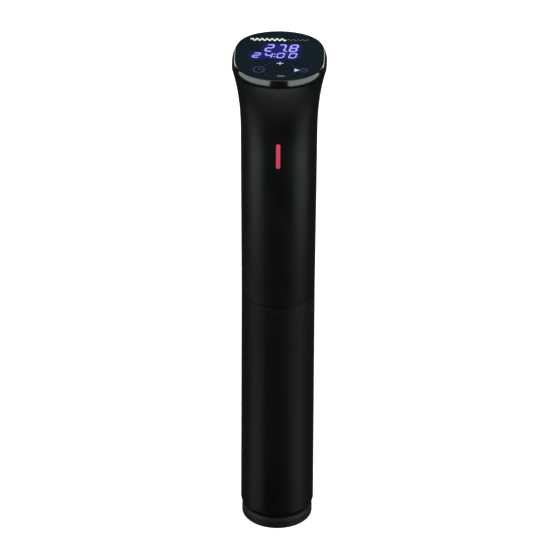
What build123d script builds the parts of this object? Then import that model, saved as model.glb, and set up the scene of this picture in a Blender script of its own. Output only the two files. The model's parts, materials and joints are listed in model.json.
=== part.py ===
"""Stick-type sous vide circulator: a stirred water heater that clips inside a pot.

Frame: origin at the centre of the base cap's underside, +Z up, -Y the front (light bar),
+Y the back (pot clip and cord gland). Millimetres.
"""
from build123d import *
import math
import os

os.makedirs("parts", exist_ok=True)

# ------------------------------------------------------------------ overall sizes
cap_height = 8.8            # visible part of the base cap
groove_height = 1.0         # shadow groove between base cap and sleeve
sleeve_length = 179.8
seam_gap = 0.4              # between sleeve and upper housing
housing_length = 186.4
flare_length = 60.4         # upper part of the housing that opens into the head
gasket_thickness = 0.5
bezel_height = 5.1          # bevel of the head, from the gasket to the panel's face

sleeve_radius = 26.0
housing_draft = 0.9         # growth in radius from the seam to the start of the flare
head_half_width = 33.2
head_half_depth = 35.5
head_squareness = 3.0       # 2 is round, more is squarer
flare_power = 2.38          # how late the flare opens
bezel_run = 2.15            # how far the bevel leans in

# ------------------------------------------------------------------ walls and fits
sleeve_wall = 1.0
housing_wall = 2.4
running_clearance = 0.05    # shaft in its bush or bearing
seat_clearance = 0.05       # piece seated in or on its neighbour
slip_clearance = 0.3        # pieces that slide past each other
panel_clearance = 0.1
press_clearance = 0.02      # pressed or threaded piece in its hole

# ------------------------------------------------------------------ shafts
drive_shaft_radius = 2.5
motor_shaft_radius = 2.0

# ------------------------------------------------------------------ levels worked out from these
sleeve_bottom = cap_height + groove_height
sleeve_top = sleeve_bottom + sleeve_length
housing_bottom = sleeve_top + seam_gap
housing_top = housing_bottom + housing_length
flare_start = housing_top - flare_length
bezel_bottom = housing_top + gasket_thickness
total_height = bezel_bottom + bezel_height
sleeve_bore = sleeve_radius - sleeve_wall
housing_bore = sleeve_radius - housing_wall
tube_top_radius = sleeve_radius + housing_draft

outline_points = 32         # points on each closed outline of the head
flare_steps = 8             # lofted sections up the flare


# ------------------------------------------------------------------ shared shapes
def outline_reach(angle, half_x, half_y, squareness):
    """Distance along an angle, by halving, from the axis to |x/a|^2 + |y/b|^squareness = 1."""
    inside, outside = 0, half_x + half_y
    for _ in range(50):
        reach = (inside + outside) / 2
        x = reach * math.cos(angle) / half_x
        y = reach * math.sin(angle) / half_y
        if x * x + abs(y) ** squareness < 1:
            inside = reach
        else:
            outside = reach
    return inside


def head_outline(half_x, half_y, squareness, level):
    """Closed outline |x/a|^2 + |y/b|^squareness = 1 on a level plane: round at 2, squarer above it."""
    points = []
    for step in range(outline_points):
        angle = 2 * math.pi * step / outline_points
        reach = outline_reach(angle, half_x, half_y, squareness)
        points.append((reach * math.cos(angle), reach * math.sin(angle)))
    with BuildSketch(Plane.XY.offset(level)) as section:
        with BuildLine():
            Spline(*points, periodic=True)
        make_face()
    return section.sketch


def housing_size(level, inset):
    """Half width, half depth and squareness of the upper housing at a level."""
    if level <= flare_start:
        rise = (level - housing_bottom) / (flare_start - housing_bottom)
        radius = sleeve_radius + housing_draft * rise - inset
        return radius, radius, 2
    rise = (level - flare_start) / flare_length
    spread = rise ** flare_power
    half_x = tube_top_radius + (head_half_width - tube_top_radius) * spread - inset
    half_y = tube_top_radius + (head_half_depth - tube_top_radius) * spread - inset
    return half_x, half_y, 2 + (head_squareness - 2) * rise


def housing_body(inset, mode=Mode.ADD):
    """Upper housing's outside, or its inside when inset by the wall: a drafted tube, then the flare."""
    tube_ends = [head_outline(*housing_size(level, inset), level) for level in (housing_bottom, flare_start)]
    levels = [flare_start + flare_length * step / flare_steps for step in range(flare_steps + 1)]
    with BuildPart() as body:
        loft(tube_ends)
        loft([head_outline(*housing_size(level, inset), level) for level in levels])
    add(body.part, mode=mode)


def disc(radius, bottom, height, centre=(0, 0), mode=Mode.ADD):
    """Round disc or hole about a vertical axis."""
    with BuildSketch(Plane.XY.offset(bottom)) as section:
        with Locations(centre):
            Circle(radius)
    extrude(section.sketch, amount=height, mode=mode)


def ring(outer, inner, bottom, height):
    """Flat ring about the main axis."""
    disc(outer, bottom, height)
    disc(inner, bottom, height, mode=Mode.SUBTRACT)


def rod(plane, radius, length, mode=Mode.ADD):
    """Round rod or hole that grows from a plane along its normal."""
    with BuildSketch(plane) as section:
        Circle(radius)
    extrude(section.sketch, amount=length, mode=mode)


def block(low, high, mode=Mode.ADD):
    """Rectangular block between two corners."""
    width, depth, height = (high[i] - low[i] for i in range(3))
    with BuildSketch(Plane.XY.offset(low[2])) as section:
        with Locations(((low[0] + high[0]) / 2, (low[1] + high[1]) / 2)):
            Rectangle(width, depth)
    extrude(section.sketch, amount=height, mode=mode)


def facing(point, direction):
    """Plane through a point, looking along a direction."""
    return Plane(origin=point, z_dir=direction)


def polar(radius, degrees, level):
    angle = math.radians(degrees)
    return (radius * math.cos(angle), radius * math.sin(angle), level)


def screw(seat, size, length):
    """Pan-head screw: its head stands on the seat plane, its shank goes the other way."""
    head_radius = size * 0.9
    head_height = size * 0.6
    cross_length = head_radius * 1.2
    cross_width = size * 0.18
    rod(seat, head_radius, head_height)
    rod(seat, size / 2, -length)
    with BuildSketch(seat.offset(head_height)) as cross:
        Rectangle(cross_length, cross_width)
        Rectangle(cross_width, cross_length)
    extrude(cross.sketch, amount=-head_height / 2, mode=Mode.SUBTRACT)


def save(part, name):
    part.label = name
    export_step(part, f"parts/{name}.step")


# ------------------------------------------------------------------ base cap
cap_radius = sleeve_radius - 0.85
cap_edge_fillet = 1.2
cap_neck_radius = sleeve_radius - 1.6    # top of the chamfer, at the shadow groove
cap_chamfer_height = 3.0
cap_floor = 2.5
cap_wall = 1.8
collar_wall = 1.2           # reinforcing collar inside the sleeve's lower end
collar_length = 10.0
cap_spigot_radius = sleeve_bore - collar_wall - slip_clearance
cap_spigot_top = sleeve_bottom + collar_length + 2.0
intake_slot_count = 16
intake_slot_width = 2.2
intake_slot_inner = 9.5
intake_slot_rim = 0.8       # floor left between the slots and the cap's wall
intake_slot_outer = cap_spigot_radius - cap_wall - intake_slot_rim

with BuildPart() as base_cap:
    with BuildSketch(Plane.XZ):
        with BuildLine():
            Polyline(
                (0, 0),
                (cap_radius, 0),
                (cap_radius, cap_height - cap_chamfer_height),
                (cap_neck_radius, cap_height),
                (cap_spigot_radius, cap_height),
                (cap_spigot_radius, cap_spigot_top),
                (cap_spigot_radius - cap_wall, cap_spigot_top),
                (cap_spigot_radius - cap_wall, cap_floor),
                (0, cap_floor),
                close=True,
            )
        make_face()
    revolve(axis=Axis.Z)
    fillet(base_cap.edges().group_by(Axis.Z)[0], radius=cap_edge_fillet)
    with BuildSketch(Plane.XY):
        half_pitch = 180 / intake_slot_count
        with PolarLocations((intake_slot_inner + intake_slot_outer) / 2, intake_slot_count, half_pitch):
            SlotOverall(intake_slot_outer - intake_slot_inner, intake_slot_width)
    extrude(amount=cap_floor, mode=Mode.SUBTRACT)
save(base_cap.part, "base_cap")

# ------------------------------------------------------------------ lower sleeve
sleeve_lip_radius = sleeve_radius - 1.1    # sleeve's lower edge, at the shadow groove
sleeve_lip_chamfer = 3.2
outlet_slot_width = 3.0
outlet_slot_length = 18.0
outlet_slot_spacing = 13    # degrees between slots round the back
outlet_columns = 5
outlet_top = sleeve_top - 40
outlet_row_pitch = 26.0
outlet_rows = 2
collar_bore = sleeve_bore - collar_wall

with BuildPart() as lower_sleeve:
    with BuildSketch(Plane.XZ):
        with BuildLine():
            Polyline(
                (collar_bore, sleeve_bottom),
                (sleeve_lip_radius, sleeve_bottom),
                (sleeve_radius, sleeve_bottom + sleeve_lip_chamfer),
                (sleeve_radius, sleeve_top),
                (sleeve_bore, sleeve_top),
                (sleeve_bore, sleeve_bottom + collar_length),
                (collar_bore, sleeve_bottom + collar_length),
                close=True,
            )
        make_face()
    revolve(axis=Axis.Z)
    for column in range(outlet_columns):
        bearing_angle = 90 + (column - (outlet_columns - 1) / 2) * outlet_slot_spacing
        outward = polar(1, bearing_angle, 0)
        for row in range(outlet_rows):
            level = outlet_top - outlet_slot_length / 2 - row * outlet_row_pitch
            start = polar(sleeve_bore - sleeve_wall, bearing_angle, level)
            with BuildSketch(Plane(origin=start, x_dir=(0, 0, 1), z_dir=outward)) as slot:
                SlotOverall(outlet_slot_length, outlet_slot_width)
            extrude(slot.sketch, amount=3 * sleeve_wall, mode=Mode.SUBTRACT)
save(lower_sleeve.part, "lower_sleeve")

# ------------------------------------------------------------------ upper housing
light_bar_length = 20.4
light_bar_width = 3.0
light_bar_level = flare_start
light_bar_floor = 0.7       # depth of the flat pocket that seats the lens inside the wall
lens_flange = 1.5           # how far the lens flange reaches past the slot
lens_flange_thickness = 1.0
wall_front = -(tube_top_radius - housing_wall)
lens_seat = wall_front - light_bar_floor
light_board_front = lens_seat + 2.5
light_board_reach = 4.6     # from the slot's end to each screw
small_screw = 2.0           # thread diameters
medium_screw = 2.5
case_screw = 3.0
light_boss_radius = small_screw / 2 + 1.4

gland_drop = 29.4           # gland's axis below the top of the housing
gland_level = housing_top - gland_drop
gland_bore = 3.6
gland_thread_radius = gland_bore + 2.4
gland_pad_radius = gland_thread_radius + 3.0
gland_pad_proud = 2.35
gland_pad_depth = 7.5
gland_pad_face = housing_size(gland_level, 0)[1] + gland_pad_proud
gland_pad_inside = gland_pad_face - gland_pad_depth

case_screw_level = housing_bottom + 11.0
case_screw_angles = (62, 118)
case_screw_head_depth = 2.0

clip_screw_levels = (housing_bottom + 52.0, housing_bottom + 102.0)
clip_boss_radius = case_screw / 2 + 1.9
clip_boss_depth = 6.0


def tube_radius_at(level):
    return housing_size(level, 0)[1]


with BuildPart() as upper_housing:
    housing_body(0)
    housing_body(housing_wall, mode=Mode.SUBTRACT)
    # light bar slot, with a flat seat for the lens behind it
    with BuildSketch(Plane(origin=(0, 0, light_bar_level), x_dir=(0, 0, 1), z_dir=(0, -1, 0))) as slot:
        SlotOverall(light_bar_length, light_bar_width)
    extrude(slot.sketch, amount=head_half_depth, mode=Mode.SUBTRACT)
    seat_half_length = light_bar_length / 2 + lens_flange + panel_clearance
    seat_half_width = light_bar_width / 2 + lens_flange + panel_clearance
    block(
        (-seat_half_width, lens_seat, light_bar_level - seat_half_length),
        (seat_half_width, wall_front + 2, light_bar_level + seat_half_length),
        mode=Mode.SUBTRACT,
    )
    for side in (-1, 1):
        level = light_bar_level + side * (light_bar_length / 2 + light_board_reach)
        back = facing((0, light_board_front, level), (0, -1, 0))
        rod(back, light_boss_radius, light_board_front - lens_seat + housing_wall / 2)
        rod(back, small_screw / 2, light_board_front - lens_seat, mode=Mode.SUBTRACT)
    # pad and hole for the cord gland
    gland_axis = facing((0, gland_pad_inside, gland_level), (0, 1, 0))
    rod(gland_axis, gland_pad_radius, gland_pad_depth)
    rod(gland_axis, gland_thread_radius + seat_clearance, gland_pad_depth, mode=Mode.SUBTRACT)
    # bosses for the clip bracket's screws
    for level in clip_screw_levels:
        inner_end = tube_radius_at(level) - housing_wall - clip_boss_depth
        boss = facing((0, inner_end, level), (0, 1, 0))
        rod(boss, clip_boss_radius, clip_boss_depth + housing_wall / 2)
        rod(boss, case_screw / 2 + seat_clearance, clip_boss_depth + 2 * housing_wall, mode=Mode.SUBTRACT)
    # countersunk holes for the screws that hold the bulkhead
    for degrees in case_screw_angles:
        outward = polar(1, degrees, 0)
        hole = facing(polar(housing_bore - housing_wall, degrees, case_screw_level), outward)
        rod(hole, case_screw / 2 + seat_clearance, 4 * housing_wall, mode=Mode.SUBTRACT)
        seat = facing(polar(sleeve_radius - case_screw_head_depth, degrees, case_screw_level), outward)
        rod(seat, case_screw, 2 * case_screw_head_depth, mode=Mode.SUBTRACT)
save(upper_housing.part, "upper_housing")

# ------------------------------------------------------------------ light bar
lens_back = lens_seat + lens_flange_thickness
lens_plane = Plane(origin=(0, lens_back, light_bar_level), x_dir=(0, 0, 1), z_dir=(0, -1, 0))
with BuildPart() as light_bar_lens:
    with BuildSketch(lens_plane) as bar:
        SlotOverall(light_bar_length - 2 * seat_clearance, light_bar_width - 2 * seat_clearance)
    extrude(bar.sketch, amount=head_half_depth)
    housing_body(0, mode=Mode.INTERSECT)
    with BuildSketch(lens_plane) as flange:
        RectangleRounded(light_bar_length + 2 * lens_flange, light_bar_width + 2 * lens_flange, lens_flange)
    extrude(flange.sketch, amount=lens_flange_thickness - seat_clearance)
save(light_bar_lens.part, "light_bar_lens")

light_board_half_length = light_bar_length / 2 + light_board_reach + light_boss_radius
light_board_half_width = 4.0
light_board_thickness = 1.0
light_board_back = light_board_front + light_board_thickness
with BuildPart() as light_bar_board:
    block(
        (-light_board_half_width, light_board_front, light_bar_level - light_board_half_length),
        (light_board_half_width, light_board_back, light_bar_level + light_board_half_length),
    )
    for side in (-1, 1):
        level = light_bar_level + side * (light_bar_length / 2 + light_board_reach)
        hole = facing((0, light_board_back, level), (0, -1, 0))
        rod(hole, small_screw / 2 + seat_clearance, light_board_thickness, mode=Mode.SUBTRACT)
save(light_bar_board.part, "light_bar_board")

led_count = 4
led_size = (3.0, 1.2, 2.6)
with BuildPart() as light_bar_leds:
    led_pitch = light_bar_length / led_count
    for index in range(led_count):
        level = light_bar_level + (index - (led_count - 1) / 2) * led_pitch
        block(
            (-led_size[0] / 2, light_board_front - led_size[1], level - led_size[2] / 2),
            (led_size[0] / 2, light_board_front, level + led_size[2] / 2),
        )
save(light_bar_leds.part, "light_bar_leds")

# ------------------------------------------------------------------ head: gasket, bezel, touch panel
panel_thickness = 1.8
bezel_land = 0.6            # flat rim between the bevel and the panel
spigot_depth = 6.0
spigot_wall = 1.6
ledge_end = 5.25            # ledge under the panel, at the front and back
head_boss_radius = small_screw / 2 + 1.6
head_boss_inset = 3.51      # from the spigot's inside to the boss's centre
head_boss_reach = 2.5       # from the opening's side to the boss's centre
head_boss_half_spacing = 8.0
display_board_thickness = 1.6
led_module_height = 6.3
display_board_top = total_height - panel_thickness - led_module_height - slip_clearance
display_board_bottom = display_board_top - display_board_thickness

mouth_x, mouth_y, mouth_squareness = housing_size(housing_top - spigot_depth, housing_wall)
spigot_x = mouth_x - slip_clearance
spigot_y = mouth_y - slip_clearance
panel_x = head_half_width - bezel_run - bezel_land
panel_y = head_half_depth - bezel_run - bezel_land
head_boss_x = spigot_x - spigot_wall - head_boss_inset
bezel_opening = (head_boss_x - head_boss_reach, panel_y - ledge_end)
head_boss_positions = [
    (side * head_boss_x, y) for side in (-1, 1) for y in (-head_boss_half_spacing, head_boss_half_spacing)
]
gasket_recess = 0.7

with BuildPart() as panel_gasket:
    outer = head_outline(
        head_half_width - gasket_recess, head_half_depth - gasket_recess, head_squareness, housing_top
    )
    extrude(outer, amount=gasket_thickness)
    inner = head_outline(
        head_half_width - housing_wall, head_half_depth - housing_wall, head_squareness, housing_top
    )
    extrude(inner, amount=gasket_thickness, mode=Mode.SUBTRACT)
save(panel_gasket.part, "panel_gasket")

with BuildPart() as bezel:
    loft([
        head_outline(head_half_width, head_half_depth, head_squareness, bezel_bottom),
        head_outline(
            head_half_width - bezel_run, head_half_depth - bezel_run, head_squareness, total_height
        ),
    ])
    extrude(
        head_outline(spigot_x, spigot_y, mouth_squareness, housing_top - spigot_depth),
        amount=bezel_bottom - housing_top + spigot_depth,
    )
    extrude(
        head_outline(panel_x, panel_y, head_squareness, total_height - panel_thickness),
        amount=panel_thickness,
        mode=Mode.SUBTRACT,
    )
    extrude(
        head_outline(
            spigot_x - spigot_wall, spigot_y - spigot_wall, mouth_squareness, housing_top - spigot_depth
        ),
        amount=bezel_bottom - housing_top + spigot_depth,
        mode=Mode.SUBTRACT,
    )
    extrude(
        head_outline(*bezel_opening, head_squareness, bezel_bottom),
        amount=bezel_height,
        mode=Mode.SUBTRACT,
    )
    for position in head_boss_positions:
        disc(head_boss_radius, display_board_top, bezel_bottom - display_board_top + 1, position)
        disc(small_screw / 2, display_board_top, bezel_bottom - display_board_top, position, Mode.SUBTRACT)
save(bezel.part, "bezel")

with BuildPart() as touch_panel:
    extrude(
        head_outline(
            panel_x - panel_clearance,
            panel_y - panel_clearance,
            head_squareness,
            total_height - panel_thickness + seat_clearance,
        ),
        amount=panel_thickness - seat_clearance,
    )
save(touch_panel.part, "touch_panel")

# ------------------------------------------------------------------ display board and what it carries
board_inset = 0.6
with BuildPart() as display_board:
    extrude(
        head_outline(
            spigot_x - spigot_wall - board_inset,
            spigot_y - spigot_wall - board_inset,
            mouth_squareness,
            display_board_bottom,
        ),
        amount=display_board_thickness,
    )
    for position in head_boss_positions:
        disc(
            small_screw / 2 + seat_clearance,
            display_board_bottom,
            display_board_thickness,
            position,
            Mode.SUBTRACT,
        )
save(display_board.part, "display_board")

module_half_width = 18.0
module_low_y = -5.5
module_high_y = 17.5
module_corner = 1.0
window_depth = 1.0
window_margin = 1.5
window_split = (4.4, 5.4)   # bar between the two rows of digits
with BuildPart() as display_module:
    block(
        (-module_half_width, module_low_y, display_board_top),
        (module_half_width, module_high_y, display_board_top + led_module_height),
    )
    fillet(display_module.edges().filter_by(Axis.Z), radius=module_corner)
    window_half_width = module_half_width - window_margin
    module_top = display_board_top + led_module_height
    for low_y, high_y in (
        (module_low_y + window_margin, window_split[0]),
        (window_split[1], module_high_y - window_margin),
    ):
        block(
            (-window_half_width, low_y, module_top - window_depth),
            (window_half_width, high_y, module_top),
            mode=Mode.SUBTRACT,
        )
save(display_module.part, "display_module")

touch_points = [(0, -10.2), (0, -24.6), (-14, -18.9), (14, -18.9)]
touch_spring_radius = 1.8
touch_spring_wire = 0.3
touch_spring_pitch = 1.1
touch_spring_height = total_height - panel_thickness - display_board_top
with BuildPart() as touch_springs:
    for x, y in touch_points:
        foot = display_board_top + touch_spring_wire
        rise = touch_spring_height - 2 * touch_spring_wire
        with BuildLine() as coil:
            Helix(touch_spring_pitch, rise, touch_spring_radius, center=(x, y, foot))
        with BuildSketch(Plane(origin=coil.line @ 0, z_dir=coil.line % 0)) as wire:
            Circle(touch_spring_wire)
        sweep(wire.sketch, path=coil.line, is_frenet=True)
save(touch_springs.part, "touch_springs")

buzzer_radius = 5.0
buzzer_height = 3.2
buzzer_position = (11, 10)
buzzer_hole_radius = 1.0
with BuildPart() as buzzer:
    disc(buzzer_radius, display_board_bottom - buzzer_height, buzzer_height, buzzer_position)
    buzzer_bottom = display_board_bottom - buzzer_height
    disc(buzzer_hole_radius, buzzer_bottom, buzzer_height / 2, buzzer_position, Mode.SUBTRACT)
save(buzzer.part, "buzzer")

# ------------------------------------------------------------------ bulkhead between dry and wet ends
bulkhead_bottom = sleeve_top - 21.6
bulkhead_top = housing_bottom + 16.0
bulkhead_neck_radius = sleeve_bore - slip_clearance
bulkhead_upper_radius = housing_bore - 0.4
seal_section = 1.25         # radius of an O-ring's round section
seal_groove_width = 3.0
seal_squeeze = 0.2          # groove is this much shallower than the ring
sleeve_seal_level = sleeve_top - 5.1
housing_seal_level = housing_bottom + 5.5
lip_seal_bottom = bulkhead_bottom + 8.0
lip_seal_height = 5.0
lip_seal_radius = drive_shaft_radius + 3.0
lip_seal_float = 0.2        # above the floor of its seat
lip_seal_rim = 0.9
lip_thickness = 0.8
bearing_bottom = bulkhead_bottom + 14.0
bearing_height = 5.0
bearing_outer_radius = drive_shaft_radius + 4.0
coupling_radius = drive_shaft_radius + 3.5
coupling_pocket_radius = coupling_radius + 2.0
well_inner_radius = coupling_pocket_radius + 2.5    # dry well for the heater's cold ends
well_outer_radius = bulkhead_upper_radius - 4.2
well_bottom = bulkhead_bottom + 10.0
bush_wall = 0.6
shaft_tube_wall = 1.4
shaft_tube_bore = drive_shaft_radius + bush_wall
shaft_tube_radius = shaft_tube_bore + shaft_tube_wall
shaft_tube_socket = 5.0
post_count = 3
post_circle = (bulkhead_upper_radius + well_outer_radius) / 2
post_radius = medium_screw / 2 + 0.75
post_height = 4.0
post_hole_depth = 4.0
post_first_angle = 30
post_angles = [post_first_angle + 360 / post_count * index for index in range(post_count)]

heater_tube_radius = 3.2
probe_offset = sleeve_bore - 5.5
probe_radius = 2.0
electrode_offset = sleeve_bore - 5.5
electrode_radius = 1.5
electrode_half_spacing = 4.0
heater_leg_offset = electrode_offset - 8.5
heater_leg_points = [(heater_leg_offset, heater_leg_offset), (heater_leg_offset, -heater_leg_offset)]
probe_points = [(probe_offset, 0)]
electrode_points = [(-electrode_offset, -electrode_half_spacing), (-electrode_offset, electrode_half_spacing)]

with BuildPart() as bulkhead:
    disc(bulkhead_neck_radius, bulkhead_bottom, sleeve_top - bulkhead_bottom)
    disc(bulkhead_upper_radius, sleeve_top, bulkhead_top - sleeve_top)
    for level, outer in (
        (sleeve_seal_level, bulkhead_neck_radius),
        (housing_seal_level, bulkhead_upper_radius),
    ):
        with BuildSketch(Plane.XY.offset(level - seal_groove_width / 2)) as groove:
            Circle(outer + 1)
            Circle(outer - 2 * seal_section + seal_squeeze, mode=Mode.SUBTRACT)
        extrude(groove.sketch, amount=seal_groove_width, mode=Mode.SUBTRACT)
    with BuildSketch(Plane.XY.offset(well_bottom)) as well:
        Circle(well_outer_radius)
        Circle(well_inner_radius, mode=Mode.SUBTRACT)
    extrude(well.sketch, amount=bulkhead_top - well_bottom, mode=Mode.SUBTRACT)
    bulkhead_height = bulkhead_top - bulkhead_bottom
    disc(drive_shaft_radius + slip_clearance, bulkhead_bottom, bulkhead_height, mode=Mode.SUBTRACT)
    disc(shaft_tube_radius + seat_clearance, bulkhead_bottom, shaft_tube_socket, mode=Mode.SUBTRACT)
    seal_seat = lip_seal_radius + seat_clearance
    bearing_seat = bearing_outer_radius + seat_clearance
    disc(seal_seat, lip_seal_bottom, bulkhead_top - lip_seal_bottom, mode=Mode.SUBTRACT)
    disc(bearing_seat, bearing_bottom, bulkhead_top - bearing_bottom, mode=Mode.SUBTRACT)
    pocket_bottom = bearing_bottom + bearing_height
    disc(coupling_pocket_radius, pocket_bottom, bulkhead_top - pocket_bottom, mode=Mode.SUBTRACT)
    for points, radius in (
        (heater_leg_points, heater_tube_radius),
        (probe_points, probe_radius),
        (electrode_points, electrode_radius),
    ):
        for point in points:
            disc(radius + seat_clearance, bulkhead_bottom, bulkhead_height, point, Mode.SUBTRACT)
    for degrees in post_angles:
        x, y, _ = polar(post_circle, degrees, 0)
        disc(post_radius, bulkhead_top, post_height, (x, y))
        hole_bottom = bulkhead_top - post_hole_depth
        disc(medium_screw / 2, hole_bottom, post_height + post_hole_depth, (x, y), Mode.SUBTRACT)
    for degrees in case_screw_angles:
        hole = facing(polar(well_outer_radius - 1, degrees, case_screw_level), polar(1, degrees, 0))
        rod(hole, case_screw / 2 + press_clearance, housing_bore, mode=Mode.SUBTRACT)
save(bulkhead.part, "bulkhead")

with BuildPart() as sleeve_seal:
    with BuildSketch(Plane.XZ):
        with Locations((sleeve_bore - running_clearance - seal_section, sleeve_seal_level)):
            Circle(seal_section)
    revolve(axis=Axis.Z)
save(sleeve_seal.part, "sleeve_seal")

with BuildPart() as housing_seal:
    with BuildSketch(Plane.XZ):
        with Locations((housing_bore - running_clearance - seal_section, housing_seal_level)):
            Circle(seal_section)
    revolve(axis=Axis.Z)
save(housing_seal.part, "housing_seal")

with BuildPart() as shaft_seal:
    lip_radius = drive_shaft_radius + running_clearance
    ring(lip_seal_radius, lip_radius, lip_seal_bottom + lip_seal_float, lip_seal_height)
    with BuildSketch(Plane.XY.offset(lip_seal_bottom + lip_seal_float)) as lip_groove:
        Circle(lip_seal_radius - lip_seal_rim)
        Circle(lip_radius + lip_thickness, mode=Mode.SUBTRACT)
    extrude(lip_groove.sketch, amount=lip_seal_height * 0.6, mode=Mode.SUBTRACT)
save(shaft_seal.part, "shaft_seal")


def ball_bearing(outer, inner, bottom, height):
    """Sealed ball bearing: one ring with its shield grooves."""
    ring(outer, inner, bottom, height)
    shield_depth = height * 0.08
    race = (outer - inner) / 4
    for level in (bottom, bottom + height - shield_depth):
        with BuildSketch(Plane.XY.offset(level)) as shield:
            Circle(outer - race)
            Circle(inner + race, mode=Mode.SUBTRACT)
        extrude(shield.sketch, amount=shield_depth, mode=Mode.SUBTRACT)


with BuildPart() as upper_bearing:
    ball_bearing(bearing_outer_radius, drive_shaft_radius + running_clearance, bearing_bottom, bearing_height)
save(upper_bearing.part, "upper_bearing")

# ------------------------------------------------------------------ heater
heater_plate_thickness = 2.5
heater_plate_radius = bulkhead_neck_radius - 1.5
heater_plate_bottom = bulkhead_bottom - heater_plate_thickness
with BuildPart() as heater_plate:
    disc(heater_plate_radius, heater_plate_bottom, heater_plate_thickness - seat_clearance)
    for points, radius in (
        (heater_leg_points, heater_tube_radius),
        (probe_points, probe_radius),
        (electrode_points, electrode_radius),
        ([(0, 0)], shaft_tube_radius),
    ):
        for point in points:
            disc(radius + seat_clearance, heater_plate_bottom, heater_plate_thickness, point, Mode.SUBTRACT)
save(heater_plate.part, "heater_plate")

impeller_lift = 9.5         # impeller above the cap's floor
impeller_height = 15.0
heater_lift = 6.8           # heater above the impeller
heater_drop = 14.5          # heater's upper bend below its plate
impeller_bottom = cap_floor + impeller_lift
heater_bottom = impeller_bottom + impeller_height + heater_lift
heater_top_bend = heater_plate_bottom - heater_drop
heater_cold_end = well_bottom + 8.0
bend_radius = heater_leg_offset - 1.0
with BuildPart() as heater_element:
    leg = heater_leg_offset
    with BuildLine() as heater_path:
        FilletPolyline(
            (leg, leg, heater_cold_end),
            (leg, leg, heater_bottom),
            (-leg, leg, heater_bottom),
            (-leg, leg, heater_top_bend),
            (-leg, -leg, heater_top_bend),
            (-leg, -leg, heater_bottom),
            (leg, -leg, heater_bottom),
            (leg, -leg, heater_cold_end),
            radius=bend_radius,
        )
    with BuildSketch(Plane(origin=(leg, leg, heater_cold_end), z_dir=(0, 0, -1))) as tube:
        Circle(heater_tube_radius)
    sweep(tube.sketch, path=heater_path.line)
save(heater_element.part, "heater_element")

terminal_length = 7.0
terminal_radius = 1.2
terminal_collar_radius = 2.4
terminal_collar_height = 1.2
with BuildPart() as heater_terminals:
    for point in heater_leg_points:
        disc(terminal_radius, heater_cold_end, terminal_length, point)
        disc(terminal_collar_radius, heater_cold_end, terminal_collar_height, point)
save(heater_terminals.part, "heater_terminals")

probe_length = 110.0
dry_end_length = 16.0       # above the heater plate, into the dry well
with BuildPart() as temperature_probe:
    disc(probe_radius, heater_plate_bottom - probe_length, probe_length + dry_end_length, probe_points[0])
    fillet(temperature_probe.edges().group_by(Axis.Z)[0], radius=probe_radius * 0.9)
save(temperature_probe.part, "temperature_probe")

electrode_length = 60.0
with BuildPart() as level_electrodes:
    for point in electrode_points:
        tip_level = heater_plate_bottom - electrode_length
        disc(electrode_radius, tip_level, electrode_length + dry_end_length, point)
save(level_electrodes.part, "level_electrodes")

cutout_radius = 3.6
cutout_height = 6.0
tab_half_thickness = 0.4
tab_half_width = 0.7
tab_offset = 2.0
tab_length = 5.0
with BuildPart() as thermal_cutout:
    centre = -(well_inner_radius + well_outer_radius) / 2
    tab_bottom = well_bottom + cutout_height
    disc(cutout_radius, well_bottom, cutout_height, (centre, 0))
    for side in (-1, 1):
        block(
            (centre - tab_half_thickness, side * tab_offset - tab_half_width, tab_bottom),
            (centre + tab_half_thickness, side * tab_offset + tab_half_width, tab_bottom + tab_length),
        )
save(thermal_cutout.part, "thermal_cutout")

# ------------------------------------------------------------------ shaft tube and lower bush
bush_length = 8.0
bush_inset = 0.5
shaft_tube_bottom = impeller_bottom + impeller_height + 2.0
shaft_tube_top = bulkhead_bottom + shaft_tube_socket
with BuildPart() as shaft_tube:
    ring(shaft_tube_radius, shaft_tube_bore, shaft_tube_bottom, shaft_tube_top - shaft_tube_bottom)
save(shaft_tube.part, "shaft_tube")

with BuildPart() as lower_bush:
    bush_radius = shaft_tube_bore - seat_clearance
    ring(bush_radius, drive_shaft_radius + running_clearance, shaft_tube_bottom + bush_inset, bush_length)
save(lower_bush.part, "lower_bush")

# ------------------------------------------------------------------ motor
plate_bottom = bulkhead_top + post_height + 2.0
plate_thickness = 2.0
plate_radius = housing_bore - 0.6
can_bottom = plate_bottom + plate_thickness
can_radius = 17.0
can_length = 38.0
can_wall = 1.0
can_end = 4.0
can_edge_fillet = 2.0
motor_bearing_radius = motor_shaft_radius + 3.5
motor_bearing_height = 3.2
can_screw_circle = 12.0
leg_circle = can_radius + 3.2

with BuildPart() as motor_plate:
    disc(plate_radius, plate_bottom, plate_thickness)
    disc(coupling_radius + 1, plate_bottom, plate_thickness, mode=Mode.SUBTRACT)
    plate_holes = [polar(post_circle, degrees, 0)[:2] for degrees in post_angles]
    plate_holes += [(side * offset, 0) for offset in (can_screw_circle, leg_circle) for side in (-1, 1)]
    for place in plate_holes:
        disc(medium_screw / 2 + seat_clearance, plate_bottom, plate_thickness, place, Mode.SUBTRACT)
save(motor_plate.part, "motor_plate")

with BuildPart() as motor_dampers:
    damper_bottom = bulkhead_top + post_height
    damper_height = plate_bottom - damper_bottom
    for degrees in post_angles:
        x, y, _ = polar(post_circle, degrees, 0)
        disc(post_radius + 0.2, damper_bottom, damper_height, (x, y))
        disc(medium_screw / 2 + seat_clearance, damper_bottom, damper_height, (x, y), Mode.SUBTRACT)
save(motor_dampers.part, "motor_dampers")

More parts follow.
